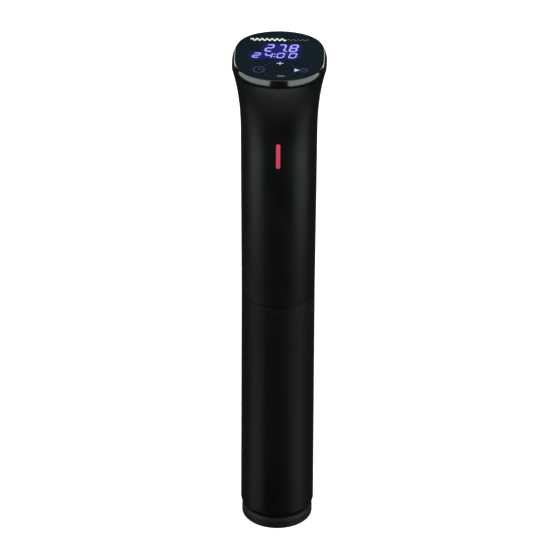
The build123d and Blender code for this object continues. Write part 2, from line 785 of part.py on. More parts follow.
with BuildPart() as motor_can:
    disc(can_radius, can_bottom, can_length)
    fillet(motor_can.edges().group_by(Axis.Z)[-1], radius=can_edge_fillet)
    disc(can_radius - can_wall, can_bottom + can_end, can_length - 2 * can_end, mode=Mode.SUBTRACT)
    disc(motor_bearing_radius + seat_clearance, can_bottom, can_end, mode=Mode.SUBTRACT)
    top_seat = can_bottom + can_length - can_end
    disc(motor_bearing_radius + seat_clearance, top_seat, motor_bearing_height, mode=Mode.SUBTRACT)
    for side in (-1, 1):
        disc(medium_screw / 2, can_bottom, can_end, (side * can_screw_circle, 0), Mode.SUBTRACT)
save(motor_can.part, "motor_can")

stator_inner = 10.2
stator_end_gap = 4.0
stator_bottom = can_bottom + can_end + stator_end_gap
stator_height = can_length - 2 * (can_end + stator_end_gap)
stator_slots = 6
stator_slot_radius = 1.9
with BuildPart() as motor_stator:
    ring(can_radius - can_wall - seat_clearance, stator_inner, stator_bottom, stator_height)
    with BuildSketch(Plane.XY.offset(stator_bottom)) as slots:
        with PolarLocations((stator_inner + can_radius - can_wall) / 2, stator_slots):
            Circle(stator_slot_radius)
    extrude(slots.sketch, amount=stator_height, mode=Mode.SUBTRACT)
save(motor_stator.part, "motor_stator")

lower_bearing_lift = 0.4
with BuildPart() as motor_bearings:
    motor_bore = motor_shaft_radius + running_clearance
    ball_bearing(motor_bearing_radius, motor_bore, can_bottom + lower_bearing_lift, motor_bearing_height)
    ball_bearing(motor_bearing_radius, motor_bore, top_seat, motor_bearing_height)
save(motor_bearings.part, "motor_bearings")

coupling_bottom = pocket_bottom + 5.0
coupling_length = 16.0
shafts_meet = coupling_bottom + coupling_length / 2
shaft_end_gap = 0.5         # each shaft stops this far from where they meet
motor_shaft_top = top_seat + 3.0
with BuildPart() as motor_shaft:
    motor_shaft_bottom = shafts_meet + shaft_end_gap
    disc(motor_shaft_radius, motor_shaft_bottom, motor_shaft_top - motor_shaft_bottom)
save(motor_shaft.part, "motor_shaft")

air_gap = 0.5
rotor_inset = 1.0           # rotor is this much shorter than the stator at each end
magnet_count = 4
magnet_gap_depth = 1.6
magnet_gap_width = 0.8
with BuildPart() as motor_rotor:
    rotor_radius = stator_inner - air_gap
    rotor_bottom = stator_bottom + rotor_inset
    rotor_height = stator_height - 2 * rotor_inset
    ring(rotor_radius, motor_shaft_radius + press_clearance, rotor_bottom, rotor_height)
    with BuildSketch(Plane.XY.offset(rotor_bottom)) as magnet_gaps:
        with PolarLocations(rotor_radius, magnet_count):
            Rectangle(magnet_gap_depth, magnet_gap_width)
    extrude(magnet_gaps.sketch, amount=rotor_height, mode=Mode.SUBTRACT)
save(motor_rotor.part, "motor_rotor")

# ------------------------------------------------------------------ coupling, drive shaft, impeller
coupling_chamfer = 0.5
grub_screw_radius = 1.2
with BuildPart() as shaft_coupling:
    disc(coupling_radius, coupling_bottom, coupling_length)
    chamfer(shaft_coupling.edges().filter_by(GeomType.CIRCLE), length=coupling_chamfer)
    disc(motor_shaft_radius + press_clearance, shafts_meet, coupling_length / 2, mode=Mode.SUBTRACT)
    disc(drive_shaft_radius + press_clearance, coupling_bottom, coupling_length / 2, mode=Mode.SUBTRACT)
    for level in (shafts_meet - coupling_length / 4, shafts_meet + coupling_length / 4):
        rod(facing((0, 0, level), (1, 0, 0)), grub_screw_radius, coupling_radius, mode=Mode.SUBTRACT)
save(shaft_coupling.part, "shaft_coupling")

nut_height = 4.0
shaft_tip = impeller_bottom - nut_height - 0.8
with BuildPart() as drive_shaft:
    disc(drive_shaft_radius, shaft_tip, shafts_meet - shaft_end_gap - shaft_tip)
save(drive_shaft.part, "drive_shaft")

impeller_side_gap = 3.2
impeller_radius = cap_spigot_radius - cap_wall - impeller_side_gap
hub_radius = drive_shaft_radius + 3.5
blade_count = 6
blade_thickness = 1.6
shroud_thickness = 1.8
blade_lift = 2.0            # blades' lower edges above the hub's end
blade_inset = 0.8           # into the hub, and short of the shroud's rim
blade_sweep = (16, 45)      # degrees behind the root at mid-span and at the tip
nut_size = drive_shaft_radius + 2.1
with BuildPart() as impeller:
    disc(hub_radius, impeller_bottom, impeller_height)
    disc(impeller_radius, impeller_bottom + impeller_height - shroud_thickness, shroud_thickness)
    for index in range(blade_count):
        turn = 360 * index / blade_count
        root = polar(hub_radius - blade_inset, turn, 0)
        middle = polar((hub_radius + impeller_radius) / 2, turn - blade_sweep[0], 0)
        tip = polar(impeller_radius - blade_inset, turn - blade_sweep[1], 0)
        with BuildSketch(Plane.XY.offset(impeller_bottom + blade_lift)) as blade:
            with BuildLine() as camber:
                ThreePointArc(root[:2], middle[:2], tip[:2])
            trace(camber.line, line_width=blade_thickness)
        extrude(blade.sketch, amount=impeller_height - blade_lift)
    disc(drive_shaft_radius + press_clearance, impeller_bottom, impeller_height, mode=Mode.SUBTRACT)
save(impeller.part, "impeller")

with BuildPart() as impeller_nut:
    with BuildSketch(Plane.XY.offset(impeller_bottom - nut_height - seat_clearance)):
        RegularPolygon(nut_size, 6)
        Circle(drive_shaft_radius + press_clearance, mode=Mode.SUBTRACT)
    extrude(amount=nut_height)
save(impeller_nut.part, "impeller_nut")

# ------------------------------------------------------------------ chassis and mains board
chassis_base = can_bottom + can_length + 4.0
chassis_thickness = 2.4
chassis_radius = housing_bore - 0.6
chassis_hole_radius = 6.0
spine_front = 2.0
spine_back = 4.0
spine_half_width = chassis_radius - 3.5
spine_top = housing_top - 24.0
board_standoff = 2.0
board_thickness = 1.6
board_back = spine_front - board_standoff
board_front = board_back - board_thickness
board_half_width = spine_half_width - 1.0
board_bottom = chassis_base + chassis_thickness + 3.0
board_top = spine_top - 2.0
board_screw_side = board_half_width - 3.0
board_screw_end = 4.0       # screws from the board's lower and upper edges
board_screw_points = [
    (x, z)
    for x in (-board_screw_side, board_screw_side)
    for z in (board_bottom + board_screw_end, board_top - board_screw_end)
]
chassis_leg_half = (2.0, 4.0)
chassis_screw_depth = 6.0
standoff_radius = 2.4
with BuildPart() as chassis:
    disc(chassis_radius, chassis_base, chassis_thickness)
    disc(chassis_hole_radius, chassis_base, chassis_thickness, mode=Mode.SUBTRACT)
    for side in (-1, 1):
        leg_x = side * leg_circle
        block(
            (leg_x - chassis_leg_half[0], -chassis_leg_half[1], can_bottom),
            (leg_x + chassis_leg_half[0], chassis_leg_half[1], chassis_base),
        )
        disc(medium_screw / 2, can_bottom, chassis_screw_depth, (leg_x, 0), Mode.SUBTRACT)
    block((-spine_half_width, spine_front, chassis_base), (spine_half_width, spine_back, spine_top))
    for x, z in board_screw_points:
        rod(facing((x, spine_front, z), (0, -1, 0)), standoff_radius, board_standoff)
        through = spine_back - spine_front + board_standoff
        rod(facing((x, spine_back, z), (0, -1, 0)), small_screw / 2, through, mode=Mode.SUBTRACT)
save(chassis.part, "chassis")

with BuildPart() as main_board:
    block((-board_half_width, board_front, board_bottom), (board_half_width, board_back, board_top))
    for x, z in board_screw_points:
        hole = facing((x, board_back, z), (0, -1, 0))
        rod(hole, small_screw / 2 + seat_clearance, board_thickness, mode=Mode.SUBTRACT)
save(main_board.part, "main_board")

transformer_bottom = board_bottom + 9.0
transformer_depth = 14.0
transformer_half_width = 9.0
core_thickness = 4.0        # each end of the core, below and above the winding
winding_height = 8.0
winding_spread = 2.0        # winding wider and shallower than the core
with BuildPart() as transformer:
    core_front = board_front - transformer_depth
    winding_bottom = transformer_bottom + core_thickness
    winding_top = winding_bottom + winding_height
    for low in (transformer_bottom, winding_top):
        core_top = low + core_thickness
        block((-transformer_half_width, core_front, low), (transformer_half_width, board_front, core_top))
    block(
        (-transformer_half_width - winding_spread, core_front + winding_spread, winding_bottom),
        (transformer_half_width + winding_spread, board_front, winding_top),
    )
save(transformer.part, "transformer")

capacitor_radius = 5.0
capacitor_height = 14.0
capacitor_level = board_bottom + 34.0
capacitor_places = (-12.0, -1.0)
with BuildPart() as capacitors:
    for x in capacitor_places:
        can = facing((x, board_front, capacitor_level), (0, -1, 0))
        rod(can, capacitor_radius, capacitor_height)
    fillet(capacitors.edges().group_by(Axis.Y)[0], radius=0.6)
save(capacitors.part, "capacitors")

relay_bottom = capacitor_level + 9.0
relay_sides = (-16.0, -6.0)
relay_depth = 14.0
relay_height = 18.0
with BuildPart() as relay:
    block(
        (relay_sides[0], board_front - relay_depth, relay_bottom),
        (relay_sides[1], board_front, relay_bottom + relay_height),
    )
    fillet(relay.edges().group_by(Axis.Y)[0], radius=0.8)
save(relay.part, "relay")

sink_left = 6.0
sink_fins = 5
sink_depth = 13.0
sink_back_thickness = 2.0
sink_height = 24.0
fin_length = 7.0
fin_thickness = 1.0
fin_pitch = 2.6
with BuildPart() as heat_sink:
    sink_right = sink_left + sink_back_thickness
    sink_top = relay_bottom + sink_height
    block((sink_left, board_front - sink_depth, relay_bottom), (sink_right, board_front, sink_top))
    for index in range(sink_fins):
        y = board_front - sink_depth + fin_thickness / 2 + index * fin_pitch
        block((sink_right, y, relay_bottom), (sink_right + fin_length, y + fin_thickness, sink_top))
save(heat_sink.part, "heat_sink")

triac_bottom = relay_bottom + 4.0
triac_sides = (11.0, 1.0)   # in front of the board
tab_thickness = 1.2
tab_height = 15.0
triac_thickness = 4.4
triac_height = 9.0
with BuildPart() as triac:
    back = sink_left - seat_clearance
    for thickness, height in ((tab_thickness, tab_height), (triac_thickness, triac_height)):
        block(
            (back - thickness, board_front - triac_sides[0], triac_bottom),
            (back, board_front - triac_sides[1], triac_bottom + height),
        )
save(triac.part, "triac")

fuse_level = capacitor_level + 32.0
fuse_left = -16.0
fuse_length = 18.0
fuse_radius = 2.6
fuse_standoff = 4.0
fuse_clip_width = 3.0
fuse_clip_half_height = 2.0
with BuildPart() as fuse:
    fuse_front = board_front - fuse_standoff
    rod(facing((fuse_left, fuse_front, fuse_level), (1, 0, 0)), fuse_radius, fuse_length)
    for x in (fuse_left, fuse_left + fuse_length - fuse_clip_width):
        block(
            (x, fuse_front, fuse_level - fuse_clip_half_height),
            (x + fuse_clip_width, board_front, fuse_level + fuse_clip_half_height),
        )
save(fuse.part, "fuse")

terminal_ways = 3
terminal_pitch = 6.0
terminal_bottom = fuse_level + 4.0
terminal_depth = 9.0
terminal_height = 8.0
terminal_screw_radius = 1.8
terminal_wire_radius = 1.6
terminal_wire_back = 5.0    # wire holes in front of the board
with BuildPart() as terminal_block:
    half_width = terminal_ways * terminal_pitch / 2
    half_height = terminal_height / 2
    terminal_front = board_front - terminal_depth
    terminal_top = terminal_bottom + terminal_height
    block((-half_width, terminal_front, terminal_bottom), (half_width, board_front, terminal_top))
    for index in range(terminal_ways):
        x = (index - (terminal_ways - 1) / 2) * terminal_pitch
        mouth = facing((x, terminal_front, terminal_bottom + half_height), (0, 1, 0))
        rod(mouth, terminal_screw_radius, half_height, mode=Mode.SUBTRACT)
        wire_hole = (x, board_front - terminal_wire_back)
        disc(terminal_wire_radius, terminal_bottom + half_height, half_height, wire_hole, Mode.SUBTRACT)
save(terminal_block.part, "terminal_block")

# ------------------------------------------------------------------ cord gland
gland_flange_radius = gland_thread_radius + 2.0
gland_flange_thickness = 2.0
gland_nose_length = 4.5
gland_thread_length = 11.0
gland_foot_radius = gland_flange_radius - 1.2
gland_nose_radius = gland_bore + 1.6
gland_length = gland_thread_length + gland_flange_thickness + gland_nose_length
with BuildPart() as cord_gland:
    face = facing((0, gland_pad_face, gland_level), (0, 1, 0))
    rod(face, gland_flange_radius, gland_flange_thickness)
    rod(face, gland_thread_radius, -gland_thread_length)
    with BuildSketch(face.offset(gland_flange_thickness)) as foot:
        Circle(gland_foot_radius)
    with BuildSketch(face.offset(gland_flange_thickness + gland_nose_length)) as nose:
        Circle(gland_nose_radius)
    loft([foot.sketch, nose.sketch])
    rod(face.offset(-gland_thread_length), gland_bore, gland_length, mode=Mode.SUBTRACT)
save(cord_gland.part, "cord_gland")

gland_nut_thickness = 3.0
gland_nut_radius = gland_thread_radius + 2.6
with BuildPart() as gland_nut:
    inside = facing((0, gland_pad_inside - seat_clearance, gland_level), (0, -1, 0))
    with BuildSketch(inside) as hexagon:
        RegularPolygon(gland_nut_radius, 6)
        Circle(gland_thread_radius + press_clearance, mode=Mode.SUBTRACT)
    extrude(hexagon.sketch, amount=gland_nut_thickness)
save(gland_nut.part, "gland_nut")

# ------------------------------------------------------------------ pot clip
clip_half_width = 11.0
bracket_bottom = housing_bottom + 46.0
bracket_top = housing_bottom + 108.0
bracket_thickness = 4.73    # behind the tube, at its thinnest
saddle_clearance = 0.12
bracket_back = tube_radius_at(bracket_top) + bracket_thickness
pin_standoff = 8.5          # pin's axis behind the bracket
pin_y = bracket_back + pin_standoff
pin_level = housing_bottom + 78.0
pin_radius = 1.5
pin_end = 1.2
ear_thickness = 3.0
ear_radius = pin_radius + 3.1
lever_half_width = clip_half_width - ear_thickness - slip_clearance
lever_thickness = 2.6
spring_half_width = 3.2
bracket_front = 15.0
bracket_corner = 3.0
ear_foot_half_height = 11.0
ear_foot_depth = 2.0        # into the bracket

with BuildPart() as clip_bracket:
    block((-clip_half_width, bracket_front, bracket_bottom), (clip_half_width, bracket_back, bracket_top))
    fillet(clip_bracket.edges().filter_by(Axis.Y), radius=bracket_corner)
    saddle = tube_radius_at(bracket_top) + saddle_clearance
    disc(saddle, bracket_bottom, bracket_top - bracket_bottom, mode=Mode.SUBTRACT)
    for side in (-1, 1):
        inner_face = side * (clip_half_width - ear_thickness)
        with BuildSketch(Plane.YZ.offset(inner_face)) as ear:
            with BuildLine():
                Polyline(
                    (bracket_back - ear_foot_depth, pin_level - ear_foot_half_height),
                    (pin_y, pin_level - ear_radius),
                    (pin_y, pin_level + ear_radius),
                    (bracket_back - ear_foot_depth, pin_level + ear_foot_half_height),
                    close=True,
                )
            make_face()
            with Locations((pin_y, pin_level)):
                Circle(ear_radius)
        extrude(ear.sketch, amount=side * ear_thickness)
    pin_end_plane = facing((-clip_half_width, pin_y, pin_level), (1, 0, 0))
    rod(pin_end_plane, pin_radius, 2 * clip_half_width, mode=Mode.SUBTRACT)
    for level in clip_screw_levels:
        seat = facing((0, bracket_back - case_screw_head_depth, level), (0, 1, 0))
        rod(seat, case_screw, 2 * case_screw_head_depth, mode=Mode.SUBTRACT)
        rod(seat, case_screw / 2 + seat_clearance, bracket_front - bracket_back, mode=Mode.SUBTRACT)
save(clip_bracket.part, "clip_bracket")

pin_end_thickness = 1.0
with BuildPart() as clip_pin:
    left = facing((-clip_half_width, pin_y, pin_level), (1, 0, 0))
    right = facing((clip_half_width, pin_y, pin_level), (1, 0, 0))
    rod(left, pin_radius - press_clearance, 2 * clip_half_width)
    rod(left, pin_radius + pin_end, -pin_end_thickness)
    rod(right, pin_radius + pin_end, pin_end_thickness)
save(clip_pin.part, "clip_pin")

jaw_level = housing_bottom + 22.0
pad_half_height = 8.0
body_pad_thickness = 2.0
jaw_gap = 1.6
lever_pad_thickness = 1.6
body_pad_face = tube_radius_at(jaw_level) + saddle_clearance + body_pad_thickness
lever_pad_face = body_pad_face + jaw_gap
arm_inner_face = lever_pad_face + lever_pad_thickness
arm_centre = arm_inner_face + lever_thickness / 2
thumb_top = (pin_y + 12.0, pin_level + 50.0)
thumb_half_width = clip_half_width
thumb_length = 26.0         # wide part of the lever, measured down from its top
shoulder = pin_y + 1.4
shoulder_half_height = 6.0
arm_over = 2.0              # arm straight past the pad, above and below
arm_under = 1.0
tip_kick = (5.0, 6.0)       # lever's tip turns away from the pot by this much, over this height
bend_radii = (6.0, 6.0, 6.0, 3.0)
hub_wall = 2.2
spring_gap_radius = pin_radius + 4.2

with BuildPart() as clip_lever:
    with BuildSketch(Plane.YZ) as arm:
        with BuildLine() as arm_path:
            FilletPolyline(
                thumb_top,
                (shoulder, pin_level + shoulder_half_height),
                (shoulder, pin_level - shoulder_half_height),
                (arm_centre, jaw_level + pad_half_height + arm_over),
                (arm_centre, jaw_level - pad_half_height - arm_under),
                (arm_centre + tip_kick[0], jaw_level - pad_half_height - arm_under - tip_kick[1]),
                radius=bend_radii,
            )
        trace(arm_path.line, line_width=lever_thickness)
    extrude(arm.sketch, amount=lever_half_width, both=True)
    with BuildSketch(Plane.YZ) as thumb:
        slope = (thumb_top[0] - shoulder) / (thumb_top[1] - pin_level - shoulder_half_height)
        thumb_low = (thumb_top[0] - slope * thumb_length, thumb_top[1] - thumb_length)
        with BuildLine() as thumb_path:
            Line(thumb_top, thumb_low)
        trace(thumb_path.line, line_width=lever_thickness)
    extrude(thumb.sketch, amount=thumb_half_width, both=True)
    left = facing((-lever_half_width, pin_y, pin_level), (1, 0, 0))
    rod(left, pin_radius + hub_wall, 2 * lever_half_width)
    gap = facing((-spring_half_width, pin_y, pin_level), (1, 0, 0))
    with BuildSketch(gap) as spring_gap:
        Circle(spring_gap_radius)
    extrude(spring_gap.sketch, amount=2 * spring_half_width, mode=Mode.SUBTRACT)
    rod(left, pin_radius + running_clearance, 2 * lever_half_width, mode=Mode.SUBTRACT)
save(clip_lever.part, "clip_lever")

pad_side_inset = 0.6
pad_edge_fillet = 0.5
with BuildPart() as lever_pad:
    pad_half_width = lever_half_width - pad_side_inset
    block(
        (-pad_half_width, lever_pad_face, jaw_level - pad_half_height),
        (pad_half_width, arm_inner_face, jaw_level + pad_half_height),
    )
    fillet(lever_pad.edges().group_by(Axis.Y)[0], radius=pad_edge_fillet)
save(lever_pad.part, "lever_pad")

body_pad_half_angle = 17
with BuildPart() as body_pad:
    pad_inner = tube_radius_at(jaw_level + pad_half_height) + saddle_clearance
    ring(body_pad_face, pad_inner, jaw_level - pad_half_height, 2 * pad_half_height)
    reach = 2 * body_pad_face
    with BuildSketch(Plane.XY.offset(jaw_level - pad_half_height)) as wedge:
        with BuildLine():
            left_ray = polar(reach, 90 + body_pad_half_angle, 0)[:2]
            right_ray = polar(reach, 90 - body_pad_half_angle, 0)[:2]
            Polyline((0, 0), right_ray, left_ray, close=True)
        make_face()
    extrude(wedge.sketch, amount=2 * pad_half_height, mode=Mode.INTERSECT)
save(body_pad.part, "body_pad")

spring_wire = 0.5
spring_turns = 3.823
spring_start_angle = 12.7   # degrees round the pin, so that the upper leg lies along the thumb tab
spring_body_leg = pin_y - bracket_back - 2 * spring_wire
spring_thumb_leg = 13.0
spring_slack = 0.4          # between the pin and the coil
spring_end_gap = 0.8        # between the coil and each side of the lever's hub
spring_radius = pin_radius + spring_slack + spring_wire
spring_pitch = 2 * (spring_half_width - spring_end_gap - spring_wire) / spring_turns
pin_axis = Axis((0, pin_y, pin_level), (1, 0, 0))
with BuildPart() as clip_spring:
    coil_length = spring_turns * spring_pitch
    coil = Helix(
        spring_pitch,
        coil_length,
        spring_radius,
        center=(-coil_length / 2, pin_y, pin_level),
        direction=(1, 0, 0),
        lefthand=True,
        mode=Mode.PRIVATE,
    ).rotate(pin_axis, spring_start_angle)
    with BuildSketch(Plane(origin=coil @ 0, z_dir=coil % 0)) as wire:
        Circle(spring_wire)
    sweep(wire.sketch, path=coil, is_frenet=True)
    rod(facing(coil @ 0, (coil % 0) * -1), spring_wire, spring_body_leg)
    rod(facing(coil @ 1, coil % 1), spring_wire, spring_thumb_leg)
save(clip_spring.part, "clip_spring")

# ------------------------------------------------------------------ screws
display_screw_length = 4.0
light_screw_length = 3.0
board_screw_length = 5.0
motor_screw_length = 5.0
post_screw_length = 9.0
bulkhead_screw_length = 4.5
clip_screw_length = 9.0
with BuildPart() as board_screws:
    for position in head_boss_positions:
        screw(facing((*position, display_board_bottom), (0, 0, -1)), small_screw, display_screw_length)
    for side in (-1, 1):
        level = light_bar_level + side * (light_bar_length / 2 + light_board_reach)
        screw(facing((0, light_board_back, level), (0, 1, 0)), small_screw, light_screw_length)
    for x, z in board_screw_points:
        screw(facing((x, board_front, z), (0, -1, 0)), small_screw, board_screw_length)
save(board_screws.part, "board_screws")

with BuildPart() as motor_screws:
    for degrees in post_angles:
        x, y, _ = polar(post_circle, degrees, 0)
        screw(facing((x, y, can_bottom), (0, 0, 1)), medium_screw, post_screw_length)
    for offset in (can_screw_circle, leg_circle):
        for side in (-1, 1):
            screw(facing((side * offset, 0, plate_bottom), (0, 0, -1)), medium_screw, motor_screw_length)
save(motor_screws.part, "motor_screws")

with BuildPart() as case_screws:
    for degrees in case_screw_angles:
        seat = facing(
            polar(sleeve_radius - case_screw_head_depth, degrees, case_screw_level), polar(1, degrees, 0)
        )
        screw(seat, case_screw, bulkhead_screw_length)
    for level in clip_screw_levels:
        seat = facing((0, bracket_back - case_screw_head_depth, level), (0, 1, 0))
        screw(seat, case_screw, clip_screw_length)
save(case_screws.part, "case_screws")
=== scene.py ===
import json
import math

import bpy
from mathutils import Matrix, Vector


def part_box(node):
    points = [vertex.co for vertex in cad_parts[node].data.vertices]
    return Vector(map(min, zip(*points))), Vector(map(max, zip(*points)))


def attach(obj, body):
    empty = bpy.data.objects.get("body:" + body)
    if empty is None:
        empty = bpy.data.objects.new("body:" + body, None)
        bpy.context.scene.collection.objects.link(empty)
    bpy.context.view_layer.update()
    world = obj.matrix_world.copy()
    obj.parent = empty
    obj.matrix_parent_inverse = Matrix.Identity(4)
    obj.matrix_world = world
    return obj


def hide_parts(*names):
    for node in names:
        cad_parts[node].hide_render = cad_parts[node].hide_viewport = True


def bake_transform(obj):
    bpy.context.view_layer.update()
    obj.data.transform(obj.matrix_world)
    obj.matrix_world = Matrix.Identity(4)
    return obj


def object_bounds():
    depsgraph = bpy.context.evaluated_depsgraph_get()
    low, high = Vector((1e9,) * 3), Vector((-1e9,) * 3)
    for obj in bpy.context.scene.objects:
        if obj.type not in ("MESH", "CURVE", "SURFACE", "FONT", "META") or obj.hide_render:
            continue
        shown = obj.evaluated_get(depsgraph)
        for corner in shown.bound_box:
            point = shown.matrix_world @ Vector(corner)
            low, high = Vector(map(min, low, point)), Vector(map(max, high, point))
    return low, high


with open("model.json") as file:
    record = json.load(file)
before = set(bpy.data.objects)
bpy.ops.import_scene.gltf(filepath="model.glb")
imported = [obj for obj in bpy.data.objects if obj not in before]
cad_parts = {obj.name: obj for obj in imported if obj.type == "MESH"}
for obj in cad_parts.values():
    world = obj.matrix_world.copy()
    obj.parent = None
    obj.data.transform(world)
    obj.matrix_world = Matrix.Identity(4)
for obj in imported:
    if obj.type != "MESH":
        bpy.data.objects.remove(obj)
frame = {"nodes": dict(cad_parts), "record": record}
cad_low, cad_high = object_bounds()

MM = 0.001


# ---------------------------------------------------------------- materials
BROAD_GRAIN = 40                # scale and detail of the slow change that lies under the fine grain
BROAD_DETAIL = 3
NOISE_LOW, NOISE_HIGH = 0.3, 0.7    # the part of the noise's range that the ramps spread out
LEAST_ROUGHNESS = 0.02


def math_node(tree, operation, *inputs):
    """Maths node whose inputs are numbers or other nodes' outputs."""
    node = tree.nodes.new("ShaderNodeMath")
    node.operation = operation
    for socket, value in zip(node.inputs, inputs):
        if isinstance(value, (int, float)):
            socket.default_value = value
        else:
            tree.links.new(value, socket)
    return node.outputs[0]


def noise_node(tree, vector, scale, detail):
    node = tree.nodes.new("ShaderNodeTexNoise")
    node.inputs["Scale"].default_value = scale
    node.inputs["Detail"].default_value = detail
    tree.links.new(vector, node.inputs["Vector"])
    return node.outputs["Fac"]


def ramp_node(tree, value, dark, light):
    node = tree.nodes.new("ShaderNodeValToRGB")
    for element, position, colour in zip(node.color_ramp.elements, (NOISE_LOW, NOISE_HIGH), (dark, light)):
        element.position = position
        element.color = (*colour, 1)
    tree.links.new(value, node.inputs["Fac"])
    return node.outputs["Color"]


def range_node(tree, value, from_min, from_max, to_min, to_max, interpolation="LINEAR"):
    node = tree.nodes.new("ShaderNodeMapRange")
    node.interpolation_type = interpolation
    node.inputs["From Min"].default_value = from_min
    node.inputs["From Max"].default_value = from_max
    node.inputs["To Min"].default_value = to_min
    node.inputs["To Max"].default_value = to_max
    tree.links.new(value, node.inputs["Value"])
    return node.outputs["Result"]


def surface(
    name, colour, variation=0.15, roughness=0.45, roughness_spread=0.08, grain=1500, stretch=(1, 1, 1),
    bump=0.15, bump_distance=0.00003, metallic=0.0, coat=0.0, coat_roughness=0.05, specular=0.5, detail=4,
    glow=None, glow_strength=1.0,
):
    """Procedural finish: grain changes colour, roughness and height a little."""
    material = bpy.data.materials.new(name)
    material.use_nodes = True
    tree = material.node_tree
    links = tree.links
    shader = tree.nodes["Principled BSDF"]

    place = tree.nodes.new("ShaderNodeTexCoord")
    mapping = tree.nodes.new("ShaderNodeMapping")
    mapping.inputs["Scale"].default_value = stretch
    links.new(place.outputs["Object"], mapping.inputs["Vector"])
    fine = noise_node(tree, mapping.outputs["Vector"], grain, detail)
    broad = noise_node(tree, mapping.outputs["Vector"], BROAD_GRAIN, BROAD_DETAIL)
    mixed = math_node(tree, "MULTIPLY_ADD", fine, 0.5, math_node(tree, "MULTIPLY", broad, 0.5))

    dark = [c * (1 - variation) for c in colour]
    light = [min(1, c * (1 + variation)) for c in colour]
    links.new(ramp_node(tree, mixed, dark, light), shader.inputs["Base Color"])
    rough = range_node(
        tree, mixed, NOISE_LOW, NOISE_HIGH,
        max(LEAST_ROUGHNESS, roughness - roughness_spread), min(1, roughness + roughness_spread),
    )
    links.new(rough, shader.inputs["Roughness"])

    relief = tree.nodes.new("ShaderNodeBump")
    relief.inputs["Strength"].default_value = bump
    relief.inputs["Distance"].default_value = bump_distance
    links.new(fine, relief.inputs["Height"])
    links.new(relief.outputs["Normal"], shader.inputs["Normal"])

    shader.inputs["Metallic"].default_value = metallic
    shader.inputs["Specular IOR Level"].default_value = specular
    shader.inputs["Coat Weight"].default_value = coat
    shader.inputs["Coat Roughness"].default_value = coat_roughness
    if glow:
        dim_glow = [c * (1 - variation) for c in glow]
        links.new(ramp_node(tree, mixed, dim_glow, glow), shader.inputs["Emission Color"])
        shader.inputs["Emission Strength"].default_value = glow_strength
    return material


FINISHES = {
    "housing_black": dict(colour=(0.0042, 0.005, 0.005), roughness=0.38, grain=3500, bump=0.1, specular=0.5),
    "sleeve_black": dict(
        colour=(0.0042, 0.0046, 0.0055), roughness=0.40, grain=2500, stretch=(1, 1, 0.05), bump=0.05
    ),
    "cap_black": dict(colour=(0.028, 0.029, 0.031), roughness=0.5, grain=3500, bump=0.2),
    "bezel_gloss": dict(
        colour=(0.004, 0.005, 0.005), roughness=0.13, roughness_spread=0.02, bump=0.01,
        specular=1.0, coat=1.0, coat_roughness=0.1,
    ),
    "panel_gloss": dict(
        colour=(0.017, 0.034, 0.045), roughness=0.12, roughness_spread=0.03, bump=0.01, specular=0.5
    ),
    "light_bar_red": dict(
        colour=(0.25, 0.02, 0.04), roughness=0.4, bump=0.05, glow=(0.62, 0.055, 0.11), glow_strength=1.0
    ),
    "rubber_black": dict(colour=(0.02, 0.02, 0.02), roughness=0.75, grain=2500, bump=0.3),
    "silicone_red": dict(colour=(0.4, 0.06, 0.04), roughness=0.5, grain=1500, bump=0.15),
    "stainless_steel": dict(
        colour=(0.55, 0.55, 0.56), metallic=1.0, roughness=0.28, grain=2500, stretch=(1, 1, 0.03), bump=0.08
    ),
    "zinc_steel": dict(colour=(0.62, 0.63, 0.65), metallic=1.0, roughness=0.3, grain=900, bump=0.1),
    "spring_steel": dict(colour=(0.5, 0.5, 0.51), metallic=1.0, roughness=0.2, grain=1500, bump=0.05),
    "aluminium_fins": dict(
        colour=(0.75, 0.75, 0.77), metallic=1.0, roughness=0.35, stretch=(1, 1, 0.05), bump=0.15
    ),
    "circuit_green": dict(colour=(0.02, 0.13, 0.05), roughness=0.35, grain=400, bump=0.1, variation=0.35),
    "component_black": dict(colour=(0.02, 0.02, 0.022), roughness=0.55, grain=2500, bump=0.2),
    "relay_blue": dict(colour=(0.03, 0.09, 0.3), roughness=0.4, grain=2000, bump=0.1),
    "capacitor_sleeve": dict(colour=(0.02, 0.025, 0.07), roughness=0.25, grain=800, bump=0.05),
    "terminal_green": dict(colour=(0.05, 0.3, 0.12), roughness=0.45, grain=2000, bump=0.1),
    "fuse_glass": dict(colour=(0.65, 0.63, 0.58), roughness=0.3, grain=900, bump=0.05),
    "lamination_steel": dict(
        colour=(0.25, 0.25, 0.26), metallic=0.9, roughness=0.45, grain=2500, stretch=(0.05, 0.05, 1), bump=0.4
    ),
    "magnet_grey": dict(colour=(0.12, 0.12, 0.13), metallic=0.7, roughness=0.5, grain=1800, bump=0.3),
    "contact_brass": dict(colour=(0.7, 0.5, 0.22), metallic=1.0, roughness=0.3, grain=900, bump=0.1),
    "ptfe_white": dict(colour=(0.8, 0.8, 0.78), roughness=0.45, grain=1500, bump=0.1),
    "bulkhead_grey": dict(colour=(0.06, 0.06, 0.065), roughness=0.5, grain=2500, bump=0.2),
    "chassis_white": dict(colour=(0.6, 0.6, 0.57), roughness=0.5, grain=2500, bump=0.15),
    "clip_black": dict(colour=(0.009, 0.0095, 0.010), roughness=0.4, grain=3500, bump=0.15),
    "led_lens": dict(colour=(0.7, 0.6, 0.6), roughness=0.2, grain=900, bump=0.05),
}
materials = {slot: surface(slot, **settings) for slot, settings in FINISHES.items()}

